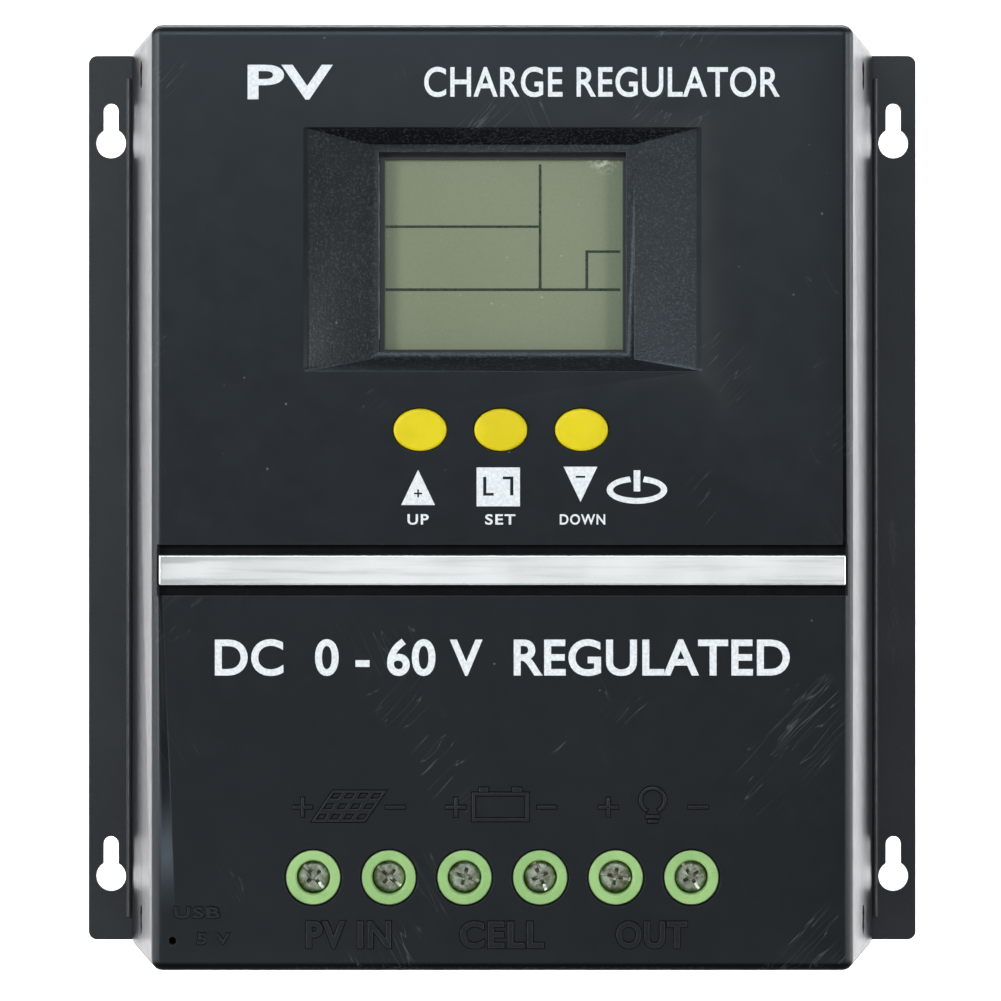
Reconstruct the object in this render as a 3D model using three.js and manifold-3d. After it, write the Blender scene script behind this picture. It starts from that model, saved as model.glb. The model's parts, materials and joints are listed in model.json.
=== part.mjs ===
// Wall-mounted solar charge controller, in millimetres.
// +Z is up, the wall is the plane y = 0, and the front of the case faces -Y.
// The origin is the middle of the base plate's rear face.
import * as THREE from "three";
import { mergeVertices } from "three/addons/utils/BufferGeometryUtils.js";
import Module from "manifold-3d";

const wasm = await Module();
wasm.setup();

// ---------------------------------------------------------------- driving dimensions
const GAP = 0.3; // clearance between two pieces that touch on the real object

const CASE = {
  frontWidth: 138.9, // where the side walls meet the front plane
  frontHeight: 187.8,
  rearWidth: 157, // where the side walls meet the wall plane
  rearHeight: 191,
  frontY: -60, // the front face
  wall: 2.5,
  frontWall: 3,
  edge: 2, // rounding between the front face and the four walls
  frontCorner: 2.2,
  rearCorner: 2.8,
};

const PLATE = { width: 174.8, height: 186.8, thickness: 1.5, corner: 1.8, beadWidth: 0.8, beadHeight: 0.8 };
const KEYHOLE = { x: 82.7, headRadius: 3.15, slotWidth: 3.2, slotRise: 6.85, headZ: [74.9, -80] };

const RECESS = {
  z: 49.2,
  width: 79,
  height: 48.4,
  floorZ: 49.05,
  floorWidth: 52.9,
  floorHeight: 43.1,
  depth: 6,
  wall: 2,
};
const WINDOW = { x: 0, z: 49, width: 49.4, height: 39.8 };
const LCD = {
  x: 0.3,
  z: 48.6,
  sightWidth: 47.6, // the part that the bezel leaves open
  sightHeight: 38,
  width: 53,
  height: 43.6,
  thickness: 2.2,
  setBack: 0.7, // from the bezel's front to the glass
  guideDepth: 1.5,
};

const BUTTON = {
  pitch: 16,
  x: -0.3,
  z: 13.4,
  rx: 5.25,
  rz: 4.2,
  proud: 1,
  gap: 0.25,
  flange: 1.1, // rim behind the cover that keeps the cap in
  flangeY: [-56.7, -55.2],
  stemRadius: 1.6,
  stemY: -52.4,
};
const BUTTON_GUIDE = { scale: 1.55, frontY: -58, rearY: -53.5, room: 1.75 }; // collar around each flange
const SWITCH = { size: 6, height: 3.4, wellRadius: 1.95, wellDepth: 2.2, plungerY: -52.2, plungerRest: 2.1 };
const BUTTON_NAMES = ["up", "set", "down"];

const STRIP = {
  z: -14.4,
  width: 136.2,
  height: 6,
  grooveHeight: 10.1,
  grooveDepth: 1.8,
  proud: 0.2,
  bevel: 0.6,
};

const TERMINAL = {
  pitch: 15,
  z: -75.35,
  collarRadius: 5.4,
  holeRadius: 5.8,
  boreRadius: 3.35,
  blockWidth: 29.4,
  topZ: -64.5,
  bottomZ: -90.3,
};
const BLOCK_NAMES = ["pv", "battery", "load"];
const SCREW = { headRadius: 3.15, headHeight: 2.6, headY: -57.4, shankRadius: 2, tipY: -42.3 };
const CHAMBER = { width: 12, frontY: -53.2, rearY: -27.4, topZ: -69.6, bottomZ: -81.2 };
const CLAMP = { width: 11.2, length: 10, frontY: -44.9, rearY: -29.4, plate: 2, side: 0.9 };
const BAR = { width: 8, frontY: -42, thickness: 2, bottomZ: -80.9, riserZ: -62 };
const ENTRY = { width: 9.4, frontY: -40.3, rearY: -31.1 }; // wire window in a block
const COVER_ENTRY = { width: 11, frontY: -42, rearY: -29.5 };

const MAIN_BOARD = { frontY: -24, thickness: 1.6, width: 136, topZ: 84, bottomZ: -89.6 };
const DISPLAY_BOARD = { frontY: -47.2, thickness: 1.6, width: 92, topZ: 80, bottomZ: 6 };
const POST = {
  x: 60,
  z: [76, -56],
  radius: 3.5,
  boreRadius: 1.7,
  boreDepth: 9,
  ring: [3.7, 4.4], // pressed ring on the rear face, inner and outer radius
  ringDepth: 0.25,
};
const PIN = { x: 42.5, z: [76.6, 9.4], radius: 2, frontY: -58 }; // pins that carry the display board
const BOARD_SCREW = {
  headRadius: 2.75,
  topRadius: 1.9,
  headHeight: 2,
  shankRadius: 1.35,
  length: 8,
  hole: 1.8,
};

const COVER_SCREW = {
  y: -29.4,
  z: 86.5,
  sunk: 0.3, // below the wall's outer face
  headRadius: 2.8,
  headDepth: 1.7,
  shankRadius: 1.45,
  holeRadius: 1.75,
  length: 7.5,
};
const TAB = { width: 10, thickness: 1.5, frontY: -36, z: 84.6 };

const USB = {
  x: -58,
  y: -27.4,
  width: 13.1,
  height: 5.7,
  depth: 14,
  shell: 0.4,
  recess: 0.4, // from the bottom wall to the mouth
  tongueWidth: 10.8,
  tongueHeight: 1.9,
  tongueBack: 1.2, // from the mouth to the tongue
};
const LED = {
  x: -65.4,
  z: -87.9,
  radius: 1.2,
  tipY: -56.6,
  baseY: -51,
  holeRadius: 0.8,
  legs: 0.6, // half the distance between the legs
  legWidth: 0.5,
};
const VENT = {
  count: 13,
  pitch: 8,
  width: 2.4,
  top: { middle: -30, half: 10 },
  bottom: { middle: -14.5, half: 5 },
};

const PAD = { z: 62, width: 90, height: 20, thickness: 0.4, lift: 0.2 };
const TRANSISTOR = { x: [-30, -10, 10, 30], z: 60, width: 10.2, height: 9.4, thickness: 4.5, legPitch: 2.54 };
const CLAMP_BAR = { width: 106, height: 7, thickness: 3, footX: 51 };
const INDUCTOR = { x: 34, y: -34, z: -34, ringRadius: 13, core: [4, 6], wire: [6.2, 8.2], play: 0.4, gap: 6 };
const CAPACITOR = { x: [-44, -22], z: -36, radius: 8, height: 28 };
const CHIP = { x: 0, z: 30, size: 12, height: 1.6 };
const HEADER = { x: 29.1, z: 12, width: 20.6, height: 2.6, pins: 8, pitch: 2.54, pin: 0.7, firstPin: 20.2 };

const colours = {
  caseBlack: [0x26292c, 0.45, 0],
  plateBlack: [0x1c1e20, 0.5, 0.4],
  chrome: [0xd8dde0, 0.12, 1],
  lcd: [0x849075, 0.2, 0],
  bezel: [0x0c0d0f, 0.4, 0],
  lightGuide: [0xe4ecd8, 0.3, 0],
  board: [0x1f5a34, 0.5, 0],
  yellow: [0xe1d023, 0.35, 0],
  switchBody: [0x17181a, 0.5, 0],
  plunger: [0xc9b58a, 0.5, 0],
  green: [0x5fb04a, 0.45, 0],
  zinc: [0x9a958c, 0.35, 1],
  steel: [0xa9adb0, 0.3, 1],
  brass: [0xb59a55, 0.3, 1],
  chip: [0x121315, 0.4, 0],
  aluminium: [0xb8bcc0, 0.35, 1],
  pad: [0x8d9094, 0.8, 0],
  ferrite: [0x3a3b3a, 0.7, 0],
  copper: [0xb06a35, 0.3, 1],
  sleeve: [0x1d2a4a, 0.3, 0],
  red: [0x8a1512, 0.25, 0],
};

// ---------------------------------------------------------------- solids
const root = new THREE.Group();
root.name = "charge_controller";

/** A closed three.js geometry as a manifold solid, with its faces turned outwards. */
function solid(geometry) {
  const g = geometry.clone();
  g.deleteAttribute("normal");
  g.deleteAttribute("uv");
  const merged = mergeVertices(g, 1e-4);
  const vertProperties = new Float32Array(merged.attributes.position.array);
  const triVerts = new Uint32Array(merged.index.array);
  const made = new wasm.Manifold(new wasm.Mesh({ numProp: 3, vertProperties, triVerts }));
  if (made.volume() >= 0) return made;
  for (let i = 0; i < triVerts.length; i += 3) {
    [triVerts[i + 1], triVerts[i + 2]] = [triVerts[i + 2], triVerts[i + 1]];
  }
  return new wasm.Manifold(new wasm.Mesh({ numProp: 3, vertProperties, triVerts }));
}

/** Adds a solid to the object as one named mesh. */
function addPart(name, shape, colour) {
  const mesh = shape.getMesh();
  const position = new Float32Array(mesh.numVert * 3);
  for (let i = 0; i < mesh.numVert; i++) {
    position.set(mesh.vertProperties.subarray(i * mesh.numProp, i * mesh.numProp + 3), i * 3);
  }
  const geometry = new THREE.BufferGeometry();
  geometry.setAttribute("position", new THREE.BufferAttribute(position, 3));
  geometry.setIndex(new THREE.BufferAttribute(new Uint32Array(mesh.triVerts), 1));
  geometry.computeVertexNormals();
  const [color, roughness, metalness] = colours[colour];
  const part = new THREE.Mesh(geometry, new THREE.MeshStandardMaterial({ color, roughness, metalness }));
  part.name = name;
  root.add(part);
}

/** Box between two corners. */
function box(x0, x1, y0, y1, z0, z1) {
  const g = new THREE.BoxGeometry(x1 - x0, y1 - y0, z1 - z0);
  return solid(g.translate((x0 + x1) / 2, (y0 + y1) / 2, (z0 + z1) / 2));
}

/** Box of a width and height centred on x and z, from y0 to y1. */
function slab(x, z, width, height, y0, y1) {
  return box(x - width / 2, x + width / 2, y0, y1, z - height / 2, z + height / 2);
}

/** Round bar along Y from y0 to y1. */
function rod(x, z, radius, y0, y1, sides = 24) {
  const g = new THREE.CylinderGeometry(radius, radius, y1 - y0, sides);
  return solid(g.translate(x, (y0 + y1) / 2, z));
}

/** Turned piece: [radius, y] points, first and last on the axis. */
function turned(profile, x, z, sides = 24, scaleX = 1, scaleZ = 1) {
  const points = profile.map(([r, y]) => new THREE.Vector2(r, y));
  return solid(new THREE.LatheGeometry(points, sides).scale(scaleX, 1, scaleZ).translate(x, 0, z));
}

/** Plane outline in X and Z, extruded from y0 to y1. */
function plate(shape, y0, y1, curveSegments = 12) {
  const g = new THREE.ExtrudeGeometry(shape, { depth: y1 - y0, bevelEnabled: false, curveSegments });
  return solid(g.rotateX(Math.PI / 2).translate(0, y1, 0));
}

/** Rounded rectangle as a plane outline. */
function roundedShape(x, z, width, height, r) {
  const [x0, x1, z0, z1] = [x - width / 2, x + width / 2, z - height / 2, z + height / 2];
  const s = new THREE.Shape();
  s.moveTo(x0 + r, z0);
  s.lineTo(x1 - r, z0);
  s.absarc(x1 - r, z0 + r, r, -Math.PI / 2, 0);
  s.lineTo(x1, z1 - r);
  s.absarc(x1 - r, z1 - r, r, 0, Math.PI / 2);
  s.lineTo(x0 + r, z1);
  s.absarc(x0 + r, z1 - r, r, Math.PI / 2, Math.PI);
  s.lineTo(x0, z0 + r);
  s.absarc(x0 + r, z0 + r, r, Math.PI, 1.5 * Math.PI);
  return s;
}

/** One rounded-rectangle section of a loft, in the plane y. */
function ring({ z = 0, width, height, corner, y }, steps) {
  const points = [];
  for (let quarter = 0; quarter < 4; quarter++) {
    const sx = quarter === 0 || quarter === 3 ? 1 : -1;
    const sz = quarter < 2 ? 1 : -1;
    for (let i = 0; i <= steps; i++) {
      const a = (quarter + i / steps) * (Math.PI / 2);
      const px = sx * (width / 2 - corner) + corner * Math.cos(a);
      points.push([px, y, z + sz * (height / 2 - corner) + corner * Math.sin(a)]);
    }
  }
  return points;
}

/** Closed skin through a list of sections, with flat ends. */
function loft(sections, steps) {
  const rings = sections.map((s) => ring(s, steps));
  const n = rings[0].length;
  const index = [];
  for (let k = 0; k + 1 < rings.length; k++) {
    for (let i = 0; i < n; i++) {
      const j = (i + 1) % n;
      const [a, b, c, d] = [k * n + i, k * n + j, (k + 1) * n + i, (k + 1) * n + j];
      index.push(a, b, d, a, d, c);
    }
  }
  for (let i = 1; i + 1 < n; i++) {
    const last = (rings.length - 1) * n;
    index.push(0, i + 1, i);
    index.push(last, last + i, last + i + 1);
  }
  const g = new THREE.BufferGeometry();
  g.setAttribute("position", new THREE.Float32BufferAttribute(rings.flat(2), 3));
  g.setIndex(index);
  return solid(g);
}

const join = (parts) => parts.reduce((a, b) => a.add(b));
const cut = (body, tools) => tools.reduce((a, b) => a.subtract(b), body);

/** Cross-shaped screwdriver recess, open to the front at y0. */
function crossRecess(x, z, y0, depth, reach = 1.7, blade = 0.75) {
  const arms = [
    slab(x, z, 2 * reach, blade, y0 - 1, y0 + depth),
    slab(x, z, blade, 2 * reach, y0 - 1, y0 + depth),
  ];
  return join(arms);
}

// ---------------------------------------------------------------- sizes that follow
const rise = (CASE.rearWidth - CASE.frontWidth) / 2 / -CASE.frontY; // side wall's slope
const sideX = (y) => CASE.rearWidth / 2 + rise * y; // half width of the case at depth y
const topRise = (CASE.rearHeight - CASE.frontHeight) / 2 / -CASE.frontY; // slope of the top and bottom walls
const endZ = (y) => CASE.rearHeight / 2 + topRise * y; // half height of the case at depth y
const lean = Math.atan(rise);
const terminalX = [...Array(6).keys()].map((i) => (i - 2.5) * TERMINAL.pitch);
const buttonX = [...Array(3).keys()].map((i) => BUTTON.x + (i - 1) * BUTTON.pitch);
const boardRear = MAIN_BOARD.frontY + MAIN_BOARD.thickness;
const boardFace = MAIN_BOARD.frontY - GAP; // where pieces stand on the main board
const coverInside = CASE.frontY + CASE.frontWall;
const PAST = 1; // how far a cutter runs past a face

/** Moves a solid made along -Y at the origin to a cover screw's place on a side wall. */
function onSideWall(shape, side, up) {
  const place = new THREE.Matrix4()
    .makeTranslation(side * sideX(COVER_SCREW.y), COVER_SCREW.y, up * COVER_SCREW.z)
    .multiply(new THREE.Matrix4().makeRotationZ(side * (Math.PI / 2 - lean)));
  return shape.transform(place.elements);
}
const corners = [-1, 1].flatMap((side) => [1, -1].map((up) => [side, up]));
const cornerName = (side, up) => (up > 0 ? "upper" : "lower") + (side < 0 ? "_left" : "_right");
const pairZ = (pair, up) => (up > 0 ? pair[0] : pair[1]);

// ---------------------------------------------------------------- cover
function frontCover() {
  const rimY = -PLATE.thickness - GAP;
  const outer = [{ width: 2 * sideX(rimY), height: 2 * endZ(rimY), corner: CASE.rearCorner, y: rimY }];
  for (const angle of [0, 15, 30, 45, 60, 75, 90]) {
    const a = THREE.MathUtils.degToRad(angle);
    const y = CASE.frontY + CASE.edge * (1 - Math.sin(a));
    const inset = 2 * CASE.edge * (1 - Math.cos(a));
    outer.push({
      width: 2 * sideX(y) - inset,
      height: 2 * endZ(y) - inset,
      corner: Math.max(0.4, CASE.frontCorner - inset / 2),
      y,
    });
  }
  const inner = [rimY + 2, CASE.frontY + CASE.frontWall].map((y) => ({
    width: 2 * (sideX(y) - CASE.wall),
    height: 2 * (endZ(y) - CASE.wall),
    corner: 0.8,
    y,
  }));
  const floorY = CASE.frontY + RECESS.depth;
  const housing = displayFunnel(2 * RECESS.wall + 2, CASE.frontY + 1, floorY + RECESS.wall);
  const { frontY, rearY, scale } = BUTTON_GUIDE;
  const guides = buttonX.map((x) => ovalRod(x, BUTTON.rx * scale, BUTTON.rz * scale, frontY, rearY, 20));
  const pinRear = DISPLAY_BOARD.frontY - GAP;
  const pins = corners.map(([side, up]) =>
    rod(side * PIN.x, pairZ(PIN.z, up), PIN.radius, PIN.frontY, pinRear, 10),
  );
  const shell = join([cut(loft(outer, 5), [loft(inner, 2)]), housing, ...guides, ...pins]);

  const before = CASE.frontY - PAST;
  const cutters = [
    displayFunnel(0, CASE.frontY, floorY),
    slab(0, RECESS.z, RECESS.width, RECESS.height, before, CASE.frontY + 0.001),
    slab(WINDOW.x, WINDOW.z, WINDOW.width, WINDOW.height, floorY - PAST, floorY + 2 * RECESS.wall),
    slab(0, STRIP.z, STRIP.width + 0.8, STRIP.grooveHeight, before, CASE.frontY + STRIP.grooveDepth),
    rod(LED.x, LED.z, LED.holeRadius, before, coverInside + PAST, 12),
    ...terminalX.map((x) => rod(x, TERMINAL.z, TERMINAL.holeRadius, before, coverInside + PAST, 28)),
    ...buttonX.flatMap(buttonHole),
    ...bottomOpenings(),
    ...vents(),
    ...corners.map(([side, up]) => onSideWall(countersink(), side, up)),
  ];
  return cut(shell, cutters);
}

/** Tapered solid of the display recess, or of the walls around it when it grows. */
function displayFunnel(grow, frontY, rearY) {
  const { z, width, height, floorZ, floorWidth, floorHeight } = RECESS;
  return loft(
    [
      { y: rearY, z: floorZ, width: floorWidth + grow, height: floorHeight + grow, corner: 0.3 },
      { y: frontY, z, width: width + grow, height: height + grow, corner: 0.8 },
    ],
    2,
  );
}

/** Oval bar along Y at the height of the buttons. */
function ovalRod(x, rx, rz, y0, y1, sides) {
  return turned([[0, y0], [1, y0], [1, y1], [0, y1]], x, BUTTON.z, sides, rx, rz);
}

/** Opening for one button, and the wider room for its flange behind. */
function buttonHole(x) {
  const { gap, rx, rz } = BUTTON;
  const { room, rearY } = BUTTON_GUIDE;
  return [
    ovalRod(x, rx + gap, rz + gap, CASE.frontY - PAST, rearY + PAST, 32),
    ovalRod(x, rx + room, rz + room, coverInside, rearY + PAST, 20),
  ];
}

/** Wire windows and the outlet's cut-out in the bottom wall. */
function bottomOpenings() {
  const [low, high] = [-CASE.rearHeight / 2 - PAST, -CASE.frontHeight / 2 + CASE.wall + PAST];
  const half = COVER_ENTRY.width / 2;
  const { frontY, rearY } = COVER_ENTRY;
  const windows = terminalX.map((x) => box(x - half, x + half, frontY, rearY, low, high));
  const [halfX, halfY] = [USB.width / 2 + GAP, USB.height / 2 + GAP];
  const outlet = box(USB.x - halfX, USB.x + halfX, USB.y - halfY, USB.y + halfY, low, high);
  return [...windows, outlet];
}

/** Slots in the top and bottom walls that let air through. */
function vents() {
  const slots = [];
  for (const [side, { middle, half }] of [[1, VENT.top], [-1, VENT.bottom]]) {
    const wallZ = side * (endZ(middle) - CASE.wall / 2);
    const [low, high] = [wallZ - CASE.wall, wallZ + CASE.wall];
    for (let i = 0; i < VENT.count; i++) {
      const x = (i - (VENT.count - 1) / 2) * VENT.pitch;
      slots.push(box(x - VENT.width / 2, x + VENT.width / 2, middle - half, middle + half, low, high));
    }
  }
  return slots;
}

/** Cutter for a countersunk cover screw, its axis from the outer face inwards. */
function countersink() {
  const { headRadius, sunk, headDepth, holeRadius } = COVER_SCREW;
  const mouth = headRadius + GAP;
  const profile = [
    [0, -PAST],
    [mouth, -PAST],
    [mouth, sunk - 0.15],
    [holeRadius, sunk + headDepth - 0.15],
    [holeRadius, 4],
    [0, 4],
  ];
  return turned(profile, 0, 0, 16);
}

function trimStrip() {
  const frontY = CASE.frontY - STRIP.proud;
  const rearY = CASE.frontY + STRIP.grooveDepth - GAP;
  const { z, width, height, bevel } = STRIP;
  return loft(
    [
      { z, width, height, corner: 0.4, y: rearY },
      { z, width, height, corner: 0.4, y: frontY + bevel },
      { z, width: width - 4 * bevel, height: height - 2 * bevel, corner: 0.2, y: frontY },
    ],
    2,
  );
}

function coverScrew() {
  const { headRadius, sunk, headDepth, shankRadius, length } = COVER_SCREW;
  const profile = [
    [0, sunk],
    [headRadius, sunk],
    [headRadius, sunk + 0.15],
    [shankRadius, sunk + headDepth],
    [shankRadius, length],
    [0, length + 0.6],
  ];
  return turned(profile, 0, 0, 16).subtract(crossRecess(0, 0, sunk, 1.3, 1.4, 0.6));
}

// ---------------------------------------------------------------- base
function backPlate() {
  const t = PLATE.thickness;
  const body = [plate(roundedShape(0, 0, PLATE.width, PLATE.height, PLATE.corner), -t, 0, 6)];
  for (const side of [-1, 1]) {
    const x = side * (CASE.rearWidth + PLATE.beadWidth) / 2;
    body.push(slab(x, 0, PLATE.beadWidth, PLATE.height - 10, -t - PLATE.beadHeight, -t + 0.2));
  }
  for (const [side, up] of corners) {
    const tab = new THREE.Shape();
    const outerX = (y) => side * (sideX(y) - CASE.wall - GAP);
    tab.moveTo(outerX(-1), 1);
    tab.lineTo(outerX(TAB.frontY), -TAB.frontY);
    tab.lineTo(outerX(TAB.frontY) - side * TAB.thickness, -TAB.frontY);
    tab.lineTo(outerX(-1) - side * TAB.thickness, 1);
    const g = new THREE.ExtrudeGeometry(tab, { depth: TAB.width, bevelEnabled: false }).rotateX(Math.PI);
    const wing = solid(g.translate(0, 0, up * TAB.z + TAB.width / 2));
    body.push(wing);
    body.push(rod(side * POST.x, pairZ(POST.z, up), POST.radius, boardRear + GAP, -t + 0.2, 12));
  }
  const holes = [];
  for (const side of [-1, 1]) {
    for (const z of KEYHOLE.headZ) {
      const x = side * KEYHOLE.x;
      const { headRadius, slotWidth, slotRise } = KEYHOLE;
      const [front, rear] = [-t - PAST, PAST];
      holes.push(rod(x, z, headRadius, front, rear, 24));
      holes.push(slab(x, z + slotRise / 2, slotWidth, slotRise, front, rear));
      holes.push(rod(x, z + slotRise, slotWidth / 2, front, rear, 16));
    }
  }
  for (const [side, up] of corners) {
    const [x, z] = [side * POST.x, pairZ(POST.z, up)];
    holes.push(rod(x, z, POST.boreRadius, boardRear - PAST, boardRear + GAP + POST.boreDepth, 12));
    holes.push(onSideWall(rod(0, 0, COVER_SCREW.holeRadius, 0, 12, 12), side, up));
    // Pressed-in posts show on the rear face as shallow rings.
    const inside = rod(x, z, POST.ring[0], -PAST, 2 * PAST, 16);
    holes.push(rod(x, z, POST.ring[1], -POST.ringDepth, PAST, 16).subtract(inside));
  }
  return cut(join(body), holes);
}

// ---------------------------------------------------------------- display
function displayParts() {
  const front = CASE.frontY + RECESS.depth + RECESS.wall + GAP;
  const glassFront = front + LCD.setBack;
  const glassRear = glassFront + LCD.thickness;
  const guideRear = glassRear + LCD.guideDepth;
  addPart("lcd_panel", slab(LCD.x, LCD.z, LCD.width, LCD.height, glassFront, glassRear), "lcd");

  const frame = slab(LCD.x, LCD.z, LCD.width + 4, LCD.height + 3.6, front, guideRear);
  const pocket = slab(LCD.x, LCD.z, LCD.width + 0.6, LCD.height + 0.6, glassFront - GAP, guideRear + 1);
  const sight = slab(LCD.x, LCD.z, LCD.sightWidth, LCD.sightHeight, front - 1, glassFront);
  addPart("lcd_bezel", cut(frame, [pocket, sight]), "bezel");

  const guide = slab(LCD.x, LCD.z, LCD.width - 1, LCD.height - 1, glassRear + 0.2, guideRear - 0.2);
  addPart("lcd_backlight", guide, "lightGuide");

  const { frontY, thickness, width, topZ, bottomZ } = DISPLAY_BOARD;
  const outline = roundedShape(0, (topZ + bottomZ) / 2, width, topZ - bottomZ, 2);
  addPart("display_board", plate(outline, frontY, frontY + thickness, 3), "board");
}

function buttonCap(x) {
  const front = CASE.frontY - BUTTON.proud;
  const flange = 1 + BUTTON.flange / BUTTON.rz;
  const [flangeFront, flangeRear] = BUTTON.flangeY;
  const profile = [
    [0, front],
    [0.82, front],
    [0.93, front + 0.16],
    [0.985, front + 0.5],
    [1, front + 1],
    [1, flangeFront],
    [flange, flangeFront],
    [flange, flangeRear],
    [0, flangeRear],
  ];
  const cap = turned(profile, x, BUTTON.z, 32, BUTTON.rx, BUTTON.rz);
  return cap.add(rod(x, BUTTON.z, BUTTON.stemRadius, flangeRear - GAP, BUTTON.stemY, 12));
}

function buttons() {
  const seat = DISPLAY_BOARD.frontY - 0.1;
  BUTTON_NAMES.forEach((name, i) => {
    const x = buttonX[i];
    addPart("button_" + name, buttonCap(x), "yellow");
    const front = seat - SWITCH.height;
    const body = slab(x, BUTTON.z, SWITCH.size, SWITCH.size, front, seat);
    const well = rod(x, BUTTON.z, SWITCH.wellRadius, front - PAST, front + SWITCH.wellDepth, 12);
    addPart("tact_switch_" + name, body.subtract(well), "switchBody");
    const plunger = rod(x, BUTTON.z, BUTTON.stemRadius, SWITCH.plungerY, seat - SWITCH.plungerRest, 12);
    addPart("tact_plunger_" + name, plunger, "plunger");
  });
}

// ---------------------------------------------------------------- terminals
function terminalBlock(x) {
  const front = coverInside + GAP;
  const half = TERMINAL.blockWidth / 2;
  const r = TERMINAL.collarRadius;
  const chamfer = 0.35;
  const collar = [
    [0, CASE.frontY],
    [r - chamfer, CASE.frontY],
    [r, CASE.frontY + chamfer],
    [r, front + PAST],
    [0, front + PAST],
  ];
  const bore = SCREW.headY + SCREW.headHeight + 0.2;
  const solids = [box(x - half, x + half, front, boardFace, TERMINAL.bottomZ, TERMINAL.topZ)];
  const holes = [];
  for (const cx of [x - TERMINAL.pitch / 2, x + TERMINAL.pitch / 2]) {
    solids.push(turned(collar, cx, TERMINAL.z, 28));
    holes.push(rod(cx, TERMINAL.z, TERMINAL.boreRadius, CASE.frontY - PAST, bore, 24));
    holes.push(rod(cx, TERMINAL.z, SCREW.shankRadius + 0.35, bore - PAST, CHAMBER.frontY + PAST, 16));
    const c = CHAMBER.width / 2;
    holes.push(box(cx - c, cx + c, CHAMBER.frontY, CHAMBER.rearY, CHAMBER.bottomZ, CHAMBER.topZ));
    const e = ENTRY.width / 2;
    const [below, above] = [TERMINAL.bottomZ - PAST, CHAMBER.bottomZ + PAST];
    holes.push(box(cx - e, cx + e, ENTRY.frontY, ENTRY.rearY, below, above));
    const b = BAR.width / 2 + GAP;
    const slotRear = BAR.frontY + BAR.thickness + GAP;
    holes.push(box(cx - b, cx + b, BAR.frontY - GAP, slotRear, CHAMBER.topZ - PAST, TERMINAL.topZ + PAST));
  }
  return cut(join(solids), holes);
}

function terminalScrew(x) {
  const { headRadius, headHeight, headY, shankRadius, tipY } = SCREW;
  const profile = [
    [0, headY],
    [headRadius - 0.9, headY],
    [headRadius - 0.25, headY + 0.35],
    [headRadius, headY + 0.9],
    [headRadius, headY + headHeight],
    [shankRadius, headY + headHeight],
    [shankRadius, tipY - 0.5],
    [shankRadius - 0.5, tipY],
    [0, tipY],
  ];
  const slot = slab(x, TERMINAL.z, 2 * headRadius + 1, 0.75, headY - 1, headY + 0.9);
  return cut(turned(profile, x, TERMINAL.z, 20), [crossRecess(x, TERMINAL.z, headY, 1.6), slot]);
}

function wireClamp(x) {
  const { width, length, frontY, rearY, plate: thick, side } = CLAMP;
  const outer = slab(x, TERMINAL.z, width, length, frontY, rearY);
  const inner = slab(x, TERMINAL.z, width - 2 * side, length + 2, frontY + thick, rearY - thick);
  const thread = rod(x, TERMINAL.z, SCREW.shankRadius + 0.3, frontY - 1, frontY + thick + 1, 16);
  return cut(outer, [inner, thread]);
}

function contactBar(x) {
  const rearY = BAR.frontY + BAR.thickness;
  const half = BAR.width / 2;
  const tongue = box(x - half, x + half, BAR.frontY, rearY, BAR.bottomZ, BAR.riserZ);
  const riser = box(x - half, x + half, BAR.frontY, boardFace, BAR.riserZ - BAR.thickness, BAR.riserZ);
  return tongue.add(riser);
}

function terminals() {
  BLOCK_NAMES.forEach((name, i) => {
    addPart("terminal_" + name, terminalBlock((i - 1) * 2 * TERMINAL.pitch), "green");
  });
  terminalX.forEach((x, i) => addPart("terminal_screw_" + (i + 1), terminalScrew(x), "zinc"));
  terminalX.forEach((x, i) => addPart("wire_clamp_" + (i + 1), wireClamp(x), "steel"));
  terminalX.forEach((x, i) => addPart("contact_bar_" + (i + 1), contactBar(x), "brass"));
}

// ---------------------------------------------------------------- boards and what they carry
function mainBoard() {
  const { frontY, thickness, width, topZ, bottomZ } = MAIN_BOARD;
  const outline = roundedShape(0, (topZ + bottomZ) / 2, width, topZ - bottomZ, 3);
  const holes = corners.map(([side, up]) =>
    rod(side * POST.x, pairZ(POST.z, up), BOARD_SCREW.hole, frontY - PAST, boardRear + PAST, 12),
  );
  return cut(plate(outline, frontY, frontY + thickness, 3), holes);
}

function boardScrew(x, z) {
  const { headRadius, topRadius, headHeight, shankRadius, length } = BOARD_SCREW;
  const seat = MAIN_BOARD.frontY - 0.1;
  const profile = [
    [0, seat - headHeight],
    [topRadius, seat - headHeight],
    [headRadius, seat - 0.6 * headHeight],
    [headRadius, seat],
    [shankRadius, seat],
    [shankRadius, seat + length],
    [0, seat + length],
  ];
  return turned(profile, x, z, 12);
}

/** Power transistor lying on the base plate, its three legs bent forward to the board. */
function powerTransistor(x, z, rearY) {
  const { width, height, thickness, legPitch } = TRANSISTOR;
  const body = slab(x, z, width, height, rearY - thickness, rearY);
  const hole = rod(x, z + 7.6, 1.8, rearY - 3, rearY + PAST, 10);
  const tab = slab(x, z + 7.5, width, 6.2, rearY - 1.3, rearY).subtract(hole);
  const legs = [-1, 0, 1].map((n) => {
    const flat = slab(x + n * legPitch, z - 6.2, 0.9, 3.6, rearY - 2.8, rearY - 2);
    return flat.add(slab(x + n * legPitch, z - 7.6, 0.9, 0.8, boardRear + GAP, rearY - 2));
  });
  return join([body, tab, ...legs]);
}

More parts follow.
